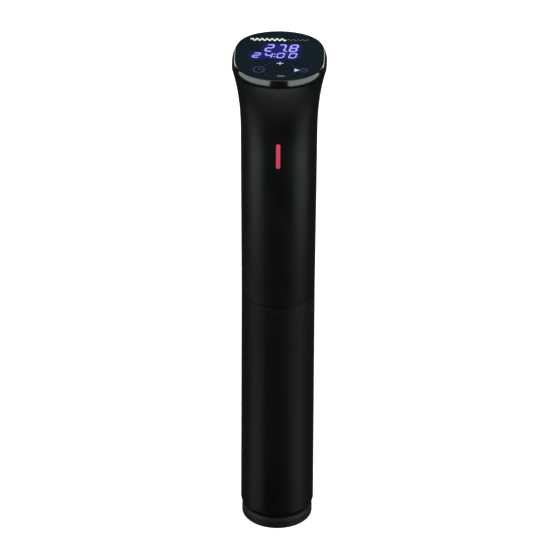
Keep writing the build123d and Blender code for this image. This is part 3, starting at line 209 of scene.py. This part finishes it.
# printed and lit marks
INKS = {
    "digits_lit": dict(
        colour=(0.2, 0.18, 0.5), variation=0.08, grain=600, bump=0, glow=(0.36, 0.33, 1.0), glow_strength=1.15
    ),
    "marks_bright": dict(
        colour=(0.3, 0.35, 0.5), variation=0.08, grain=600, bump=0, glow=(0.50, 0.56, 1.0), glow_strength=0.9
    ),
    "mark_grey": dict(
        colour=(0.3, 0.32, 0.35), variation=0.08, grain=600, bump=0,
        glow=(0.22, 0.24, 0.32), glow_strength=0.8,
    ),
    "marks_dim": dict(
        colour=(0.05, 0.07, 0.2), variation=0.1, grain=600, bump=0,
        glow=(0.04, 0.055, 0.20), glow_strength=0.6,
    ),
    "ring_faint": dict(
        colour=(0.03, 0.04, 0.06), variation=0.1, grain=600, bump=0,
        glow=(0.02, 0.025, 0.05), glow_strength=0.6,
    ),
    # white and pale grey print of the front mark: the colour is the print's own, and the glow is painted
    # light that makes the print shine
    "white_print_painted_glow": dict(
        colour=(0.7, 0.72, 0.72), variation=0.06, roughness=0.4, grain=900, bump=0, glow=(0.55, 0.57, 0.58)
    ),
    "pale_grey_print_painted_glow": dict(
        colour=(0.3, 0.32, 0.33), variation=0.06, roughness=0.4, grain=900, bump=0, glow=(0.10, 0.11, 0.12)
    ),
    "mark_dark_grey": dict(colour=(0.022, 0.023, 0.025), variation=0.1, roughness=0.5, grain=900, bump=0),
}

for entry in frame["record"]["subparts"]:
    node = frame["nodes"][entry["node"]]
    node.data.materials.clear()
    node.data.materials.append(materials[entry["material_slot"]])


def add_display_halo(material, rows, reach, colour, strength):
    """Blue light round the lit rows, each a rectangle: centre x and y, half width and half height."""
    glass = 0.6 * MM                # only the panel's upper face, down to this depth, glows
    tree = material.node_tree
    place = tree.nodes.new("ShaderNodeTexCoord")
    split = tree.nodes.new("ShaderNodeSeparateXYZ")
    tree.links.new(place.outputs["Object"], split.inputs["Vector"])

    def beyond(axis, centre, half):
        """How far a point lies outside the rectangle along one axis."""
        off_centre = math_node(tree, "ABSOLUTE", math_node(tree, "SUBTRACT", split.outputs[axis], centre))
        return math_node(tree, "MAXIMUM", math_node(tree, "SUBTRACT", off_centre, half), 0)

    total = None
    for centre_x, centre_y, half_x, half_y in rows:
        off_x = beyond("X", centre_x, half_x)
        off_y = beyond("Y", centre_y, half_y)
        squares = [math_node(tree, "MULTIPLY", off, off) for off in (off_x, off_y)]
        distance = math_node(tree, "SQRT", math_node(tree, "ADD", *squares))
        fade = range_node(tree, distance, 0, reach, 1, 0, interpolation="SMOOTHERSTEP")
        total = fade if total is None else math_node(tree, "ADD", total, fade)
    above = math_node(tree, "GREATER_THAN", split.outputs["Z"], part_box("touch_panel")[1].z - glass)
    amount = math_node(tree, "MULTIPLY", math_node(tree, "MULTIPLY", total, above), strength)
    shader = tree.nodes["Principled BSDF"]
    shader.inputs["Emission Color"].default_value = (*colour, 1)
    tree.links.new(amount, shader.inputs["Emission Strength"])


# ---------------------------------------------------------------- flat shapes, in millimetres
def segment(start, end, stroke):
    """Bar with pointed ends between two points, as on a digital display."""
    a, b = Vector(start), Vector(end)
    along = (b - a).normalized()
    side = Vector((-along.y, along.x)) * stroke / 2
    back = along * stroke / 2
    return [a, a + back - side, b - back - side, b, b - back + side, a + back + side]


def ribbon(points, stroke, closed=False):
    """Strip of quads of even width along a line."""
    line = [Vector(p) for p in points]
    count = len(line)
    sides = []
    for index, point in enumerate(line):
        before = line[(index - 1) % count] if closed or index else line[index]
        after = line[(index + 1) % count] if closed or index < count - 1 else line[index]
        along = (after - before).normalized()
        normal = Vector((-along.y, along.x)) * stroke / 2
        sides.append((point - normal, point + normal))
    last = count if closed else count - 1
    return [
        [sides[i][0], sides[(i + 1) % count][0], sides[(i + 1) % count][1], sides[i][1]] for i in range(last)
    ]


def circle(centre, radius, steps=48):
    turns = [2 * math.pi * i / steps for i in range(steps)]
    return [(centre[0] + radius * math.cos(turn), centre[1] + radius * math.sin(turn)) for turn in turns]


def dot(x, y, radius):
    return [circle((x, y), radius, 16)]


def ripple(left, length, level, height, waves, steps):
    """Points along a sine wave."""
    return [
        (left + length * i / steps, level + height * math.sin(2 * math.pi * waves * i / steps))
        for i in range(steps + 1)
    ]


SEGMENTS = {"0": "abcdef", "2": "abged", "4": "fgbc", "7": "abc", "8": "abcdefg"}
SLANT = 0.2                     # how far the digits lean to the right, per unit of height
SEGMENT_GAP = 0.12              # at each end of a segment


def digit(character, left, bottom, width, height, stroke):
    """Seven-segment figure that leans to the right."""
    half = stroke / 2
    low, middle, high = half, height / 2, height - half
    ends = {
        "a": ((half, high), (width - half, high)),
        "b": ((width - half, middle), (width - half, high)),
        "c": ((width - half, low), (width - half, middle)),
        "d": ((half, low), (width - half, low)),
        "e": ((half, low), (half, middle)),
        "f": ((half, middle), (half, high)),
        "g": ((half, middle), (width - half, middle)),
    }
    shapes = []
    for letter in SEGMENTS[character]:
        start, end = (Vector(point) for point in ends[letter])
        trim = (end - start).normalized() * SEGMENT_GAP
        outline = segment(start + trim, end - trim, stroke)
        shapes.append([(left + p.x + SLANT * p.y, bottom + p.y) for p in outline])
    return shapes


# ---------------------------------------------------------------- marks on the touch panel and the sleeve
MARK_LEVELS = (-0.01, 0.04)     # a mark's underside, just inside the surface, and its top, in millimetres
panel_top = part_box("touch_panel")[1].z
sleeve_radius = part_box("lower_sleeve")[1].x / MM


def mesh_object(name, vertices, faces, material, smooth=True):
    mesh = bpy.data.meshes.new(name)
    mesh.from_pydata(vertices, [], faces)
    mesh.update()
    mesh.materials.append(material)
    if smooth:
        mesh.polygons.foreach_set("use_smooth", [True] * len(mesh.polygons))
    item = bpy.data.objects.new(name, mesh)
    bpy.context.scene.collection.objects.link(item)
    return item


def on_panel(x, y, height):
    return (x * MM, y * MM, panel_top + height * MM)


def on_sleeve(x, y, height):
    """Wraps a flat mark round the front of the sleeve; y is its height above the base."""
    radius = sleeve_radius + height
    turn = x / radius
    return (radius * math.sin(turn) * MM, -radius * math.cos(turn) * MM, y * MM)


def printed(name, shapes, place, ink, body):
    """Thin raised marks. place turns (x, y, height) in millimetres into a point in metres."""
    vertices, faces = [], []
    for shape in shapes:
        base = len(vertices)
        count = len(shape)
        for height in MARK_LEVELS:
            vertices += [place(point[0], point[1], height) for point in shape]
        faces.append([base + count + i for i in range(count)])
        for i in range(count):
            ahead = (i + 1) % count
            faces.append([base + i, base + ahead, base + count + ahead, base + count + i])
    item = mesh_object(name, vertices, faces, surface(ink, **INKS[ink]), smooth=False)
    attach(item, body)


def display_digits():
    """Temperature above, time below."""
    upper = dict(bottom=5.4, width=6.0, height=10.1, stroke=1.35)
    lower = dict(bottom=-3.1, width=5.6, height=7.1, stroke=1.1)
    columns = (-19.6, -11.15, -2.7, 5.75)       # left edges of the digits' places
    shapes = []
    for character, left in zip("278", columns[1:]):
        shapes += digit(character, left, **upper)
    for character, left in zip("2400", columns):
        shapes += digit(character, left, **lower)
    point_radius, colon_radius = 0.75, 0.6
    shapes += dot(4.45, upper["bottom"] + point_radius, point_radius)
    shapes += dot(-3.75, lower["bottom"] + 1.9, colon_radius)
    shapes += dot(-3.1, lower["bottom"] + 5.2, colon_radius)
    printed("display_digits", shapes, on_panel, "digits_lit", "root")


def touch_marks():
    """Plus, minus, timer and start marks round a faint wheel."""
    row = -18.9                                 # level of the timer and start marks
    plus = [segment((-1.9, -10.2), (3.1, -10.2), 0.75), segment((0.6, -12.3), (0.6, -8.1), 0.75)]
    arrow = [[(10.8, -16.9), (10.8, -21.1), (14.6, -19.0)]]
    printed("touch_marks_bright", plus + arrow, on_panel, "marks_bright", "root")

    minus = [segment((-1.2, -27.2), (4.4, -27.2), 0.8)]
    printed("touch_mark_minus", minus, on_panel, "mark_grey", "root")

    clock = ribbon(circle((-14, row), 3.9), 0.55, closed=True)
    clock += ribbon([(-14, row), (-14, row + 2.5)], 0.5)
    clock += ribbon([(-14.2, row), (-11.9, row)], 0.5)
    start = ribbon(circle((17.6, row), 2.4, 32), 0.6, closed=True)
    start += ribbon([(17.6, row + 0.9), (17.6, row - 0.9)], 0.6)
    printed("touch_marks_dim", clock + start, on_panel, "marks_dim", "root")

    wheel = ribbon(circle((0, -18.6), 11, 72), 0.22, closed=True)
    printed("touch_wheel_ring", wheel, on_panel, "ring_faint", "root")


def front_mark():
    """A generic decorative row: a bold wave, then small dashes."""
    wave = ripple(left=-20.5, length=24.5, level=21.8, height=1.3, waves=7, steps=84)
    printed("front_mark_wave", ribbon(wave, 1.2), on_panel, "white_print_painted_glow", "root")

    first_left, pitch, dash = 5.4, 1.65, 1.0
    level, step = 21.6, 0.5                     # the dashes lie by turns a step above and below the level
    dashes = []
    for i in range(9):
        left = first_left + pitch * i
        y = level + step * (-1) ** i
        dashes += ribbon([(left, y), (left + dash, y)], 0.75)
    printed("front_mark_dashes", dashes, on_panel, "pale_grey_print_painted_glow", "root")


def level_mark():
    """Faint water-level mark: a line, a small triangle that points at it and a double wave."""
    half_line, line_level, line_steps = 9, 171, 24
    line = [
        (-half_line + 2 * half_line * i / line_steps, line_level) for i in range(line_steps + 1)
    ]
    wave = ripple(left=-6, length=12, level=184, height=1.2, waves=2, steps=40)
    wave_pitch = 3
    upper = [(x, y + wave_pitch) for x, y in wave]
    triangle = [[(-2.2, 179.5), (0, 175.5), (2.2, 179.5)]]
    shapes = ribbon(line, 0.5) + ribbon(wave, 0.6) + ribbon(upper, 0.6) + triangle
    printed("level_mark", shapes, on_sleeve, "mark_dark_grey", "sleeve")


# ---------------------------------------------------------------- bevel and spring
def outline_reach(direction_x, direction_y, half_x, half_y):
    """Distance from the axis to the head's outline along a direction, by Newton's method."""
    squareness = 3.0                # the outline's power across its depth; across its width it is 2
    reach = 1.0
    for _ in range(30):
        value = (
            (reach * abs(direction_x) / half_x) ** 2 + (reach * abs(direction_y) / half_y) ** squareness - 1
        )
        slope = (
            2 * reach * (direction_x / half_x) ** 2
            + squareness * reach ** (squareness - 1) * (abs(direction_y) / half_y) ** squareness
        )
        reach -= value / slope
    return reach


def bevel_profile(bottom, top):
    """Section of the skin, as (inset from the bezel's edge, height): face, lip and hidden underside."""
    run = 2.15                      # the bevel's width, seen from above
    first, last = math.radians(15), math.radians(37)    # slope of the face's normal, below and above
    steps = 12
    outside, seat = 0.03, 0.02      # how far the skin stands outside the bezel, and above the gasket
    crest = 0.06                    # height of the lip above the panel
    arc = [(0.0, 0.0)]
    for i in range(steps):
        slope = first + (last - first) * (i + 0.5) / steps
        arc.append((arc[-1][0] + math.sin(slope), arc[-1][1] + math.cos(slope)))
    scale_in, scale_up = (run - 0.25) / arc[-1][0], (top - 0.05 - bottom) / arc[-1][1]
    face = [(-outside + x * scale_in, bottom + seat + z * scale_up) for x, z in arc]
    lip = [
        (run - 0.12, top + 0.02), (run + 0.05, top + crest), (run + 0.3, top + crest), (run + 0.5, top + 0.02)
    ]
    hidden = [(run + 0.5, top - 0.3), (run - 0.2, top - 0.6), (0.7, bottom + 0.4), (0.3, bottom + seat)]
    return face + lip + hidden


def glossy_bevel():
    """Convex gloss skin over the bevel, with a small rounded lip round the panel."""
    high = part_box("bezel")[1] / MM
    profile = bevel_profile(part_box("panel_gasket")[1].z / MM, high.z)
    around = 240
    vertices = []
    for inset, z in profile:
        for i in range(around):
            turn = 2 * math.pi * i / around
            c, s = math.cos(turn), math.sin(turn)
            reach = outline_reach(c, s, high.x - inset, high.y - inset)
            vertices.append((reach * c * MM, reach * s * MM, z * MM))
    faces = []
    for ring in range(len(profile)):
        here, above = ring * around, (ring + 1) % len(profile) * around
        for i in range(around):
            ahead = (i + 1) % around
            faces.append((here + i, here + ahead, above + ahead, above + i))
    skin = mesh_object("bezel_skin", vertices, faces, materials["bezel_gloss"])
    skin.data.set_sharp_from_angle(angle=math.radians(50))
    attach(skin, "root")


def winding_spring():
    """The clip's torsion spring, as a rigid copy of the CAD part's mesh; the CAD part is hidden."""
    rigid = frame["nodes"]["clip_spring"]
    mesh = rigid.data.copy()
    mesh.transform(rigid.matrix_world)
    spring = bpy.data.objects.new("clip_spring_wire", mesh)
    bpy.context.scene.collection.objects.link(spring)
    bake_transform(spring)
    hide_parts("clip_spring")


glossy_bevel()
winding_spring()
add_display_halo(
    materials["panel_gloss"],
    rows=[(0.0010, 0.0105, 0.0095, 0.0012), (-0.0035, 0.0005, 0.0135, 0.0005)],
    reach=0.0078,
    colour=(0.028, 0.026, 0.46),
    strength=0.27,
)
display_digits()
touch_marks()
front_mark()
level_mark()


# ---------------------------------------------------------------- camera, floor and lights
def place_camera():
    """Long lens, looking down at the front from a little to the right."""
    elevation = math.radians(32.58)
    azimuth = math.radians(1.21)
    roll = math.radians(0.333)
    distance = 5.752
    aim_height, shift_right, shift_up = 0.195, 0.00126, 0.0013
    back = Vector((
        math.sin(azimuth) * math.cos(elevation),
        -math.cos(azimuth) * math.cos(elevation),
        math.sin(elevation),
    ))
    right = (-back).cross(Vector((0, 0, 1))).normalized()
    up = right.cross(-back)
    rolled_right = right * math.cos(roll) + up * math.sin(roll)
    rolled_up = -right * math.sin(roll) + up * math.cos(roll)
    aim = Vector((0, 0, aim_height)) + rolled_right * shift_right + rolled_up * shift_up
    data = bpy.data.cameras.new("camera")
    data.sensor_width = 36
    data.lens = 521.2
    data.clip_start = 0.1
    data.clip_end = 60
    camera = bpy.data.objects.new("camera", data)
    turn = Matrix((rolled_right, rolled_up, back)).transposed().to_4x4()
    camera.matrix_world = Matrix.Translation(aim + back * distance) @ turn
    bpy.context.scene.collection.objects.link(camera)
    bpy.context.scene.camera = camera


def backdrop(name, vertices, faces, glow_strength):
    """White surface that lights nothing, shades nothing and isn't reflected, so that the tube stays black."""
    item = mesh_object(name, vertices, faces, surface(
        name + "_white", (0.9, 0.9, 0.9), variation=0.01, roughness=0.9, grain=30, bump=0,
        specular=0.0, glow=(1.0, 1.0, 1.0), glow_strength=glow_strength,
    ))
    item.visible_diffuse = False
    item.visible_glossy = False
    item.visible_transmission = False
    item.visible_shadow = False
    return item


def place_floor():
    half = 30.0
    below = 0.005                   # gap under the sleeve and cap at the end of their travel
    corners = [(-half, -half, 0), (half, -half, 0), (half, half, 0), (-half, half, 0)]
    floor = backdrop("floor", corners, [(0, 1, 2, 3)], 0.93)
    # low enough for the sleeve and cap when they are pulled off, and so below the object at rest
    slides = [joint for joint in frame["record"]["behaviour"]["joints"] if joint["type"] == "slide"]
    travel = sum(joint["range_m"][1] for joint in slides)
    floor.location.z = cad_low.z - travel - below

    # pale wall all round, which meets the floor at its nearest edges
    steps = 48
    wall_bottom, wall_top = -12.0, 20.0
    ring = circle((0, 0), half, steps)
    vertices = [(x, y, z) for z in (wall_bottom, wall_top) for x, y in ring]
    faces = [(i, (i + 1) % steps, steps + (i + 1) % steps, steps + i) for i in range(steps)]
    wall = backdrop("wall", vertices, faces, 1.0)


def area_light(name, location, target, size, power, colour=(1, 1, 1), diffuse=True, spread=180):
    data = bpy.data.lights.new(name, "AREA")
    data.shape = "RECTANGLE"
    data.size, data.size_y = size
    data.energy = power
    data.color = colour
    data.spread = math.radians(spread)
    lamp = bpy.data.objects.new(name, data)
    lamp.location = location
    lamp.rotation_euler = (Vector(target) - Vector(location)).to_track_quat("-Z", "Y").to_euler()
    lamp.visible_camera = False
    lamp.visible_diffuse = diffuse
    bpy.context.scene.collection.objects.link(lamp)


def place_lights():
    world = bpy.data.worlds.new("studio")
    world.use_nodes = True
    background = world.node_tree.nodes["Background"]
    background.inputs["Color"].default_value = (1, 1, 1, 1)
    background.inputs["Strength"].default_value = 0.025
    bpy.context.scene.world = world
    bpy.context.scene.view_settings.view_transform = "Standard"

    pale_blue, cool, near_white = (0.84, 0.96, 1.0), (0.9, 0.96, 1.0), (0.95, 0.97, 1.0)
    strip_green, card_green = (0.86, 1.0, 0.94), (0.86, 1.0, 0.93)
    area_light("overhead", (0, -0.2, 3.0), (0, 0, 0), (4.0, 4.0), 28, pale_blue)
    card_angle, card_distance, card_height = math.radians(60), 2.0, 1.22
    for side, name in ((-1, "left"), (1, "right")):
        # strips low at the sides, that show only as reflections in the tube
        place = (side * 0.42, -0.16, 0.14)
        area_light("strip_" + name, place, (0, 0, 0.1), (0.34, 0.26), 0.36, strip_green, diffuse=False)
        place = (side * 0.2, -0.09, -0.07)
        area_light("low_" + name, place, (0, 0, 0.05), (0.16, 0.12), 0.022, cool, diffuse=False)
        # wide cards that show in the bevel of the head
        x, y = side * card_distance * math.sin(card_angle), -card_distance * math.cos(card_angle)
        place, target = (x, y, card_height), (0, 0, card_height)
        area_light("card_" + name, place, target, (3.9, 1.6), 30, card_green, diffuse=False)
        # softboxes behind, for the rims and for the clip side
        area_light("rear_" + name, (side * 0.95, 1.35, 0.75), (0, 0, 0.2), (0.8, 1.4), 9.0)
    # weak narrow light from low in front, that shows only under the flare of the head
    place, target = (0, -0.15, 0.004), (0, -0.15, 1)
    area_light("up_light", place, target, (0.34, 0.22), 0.045, near_white, diffuse=False, spread=56)


place_camera()
place_floor()
place_lights()
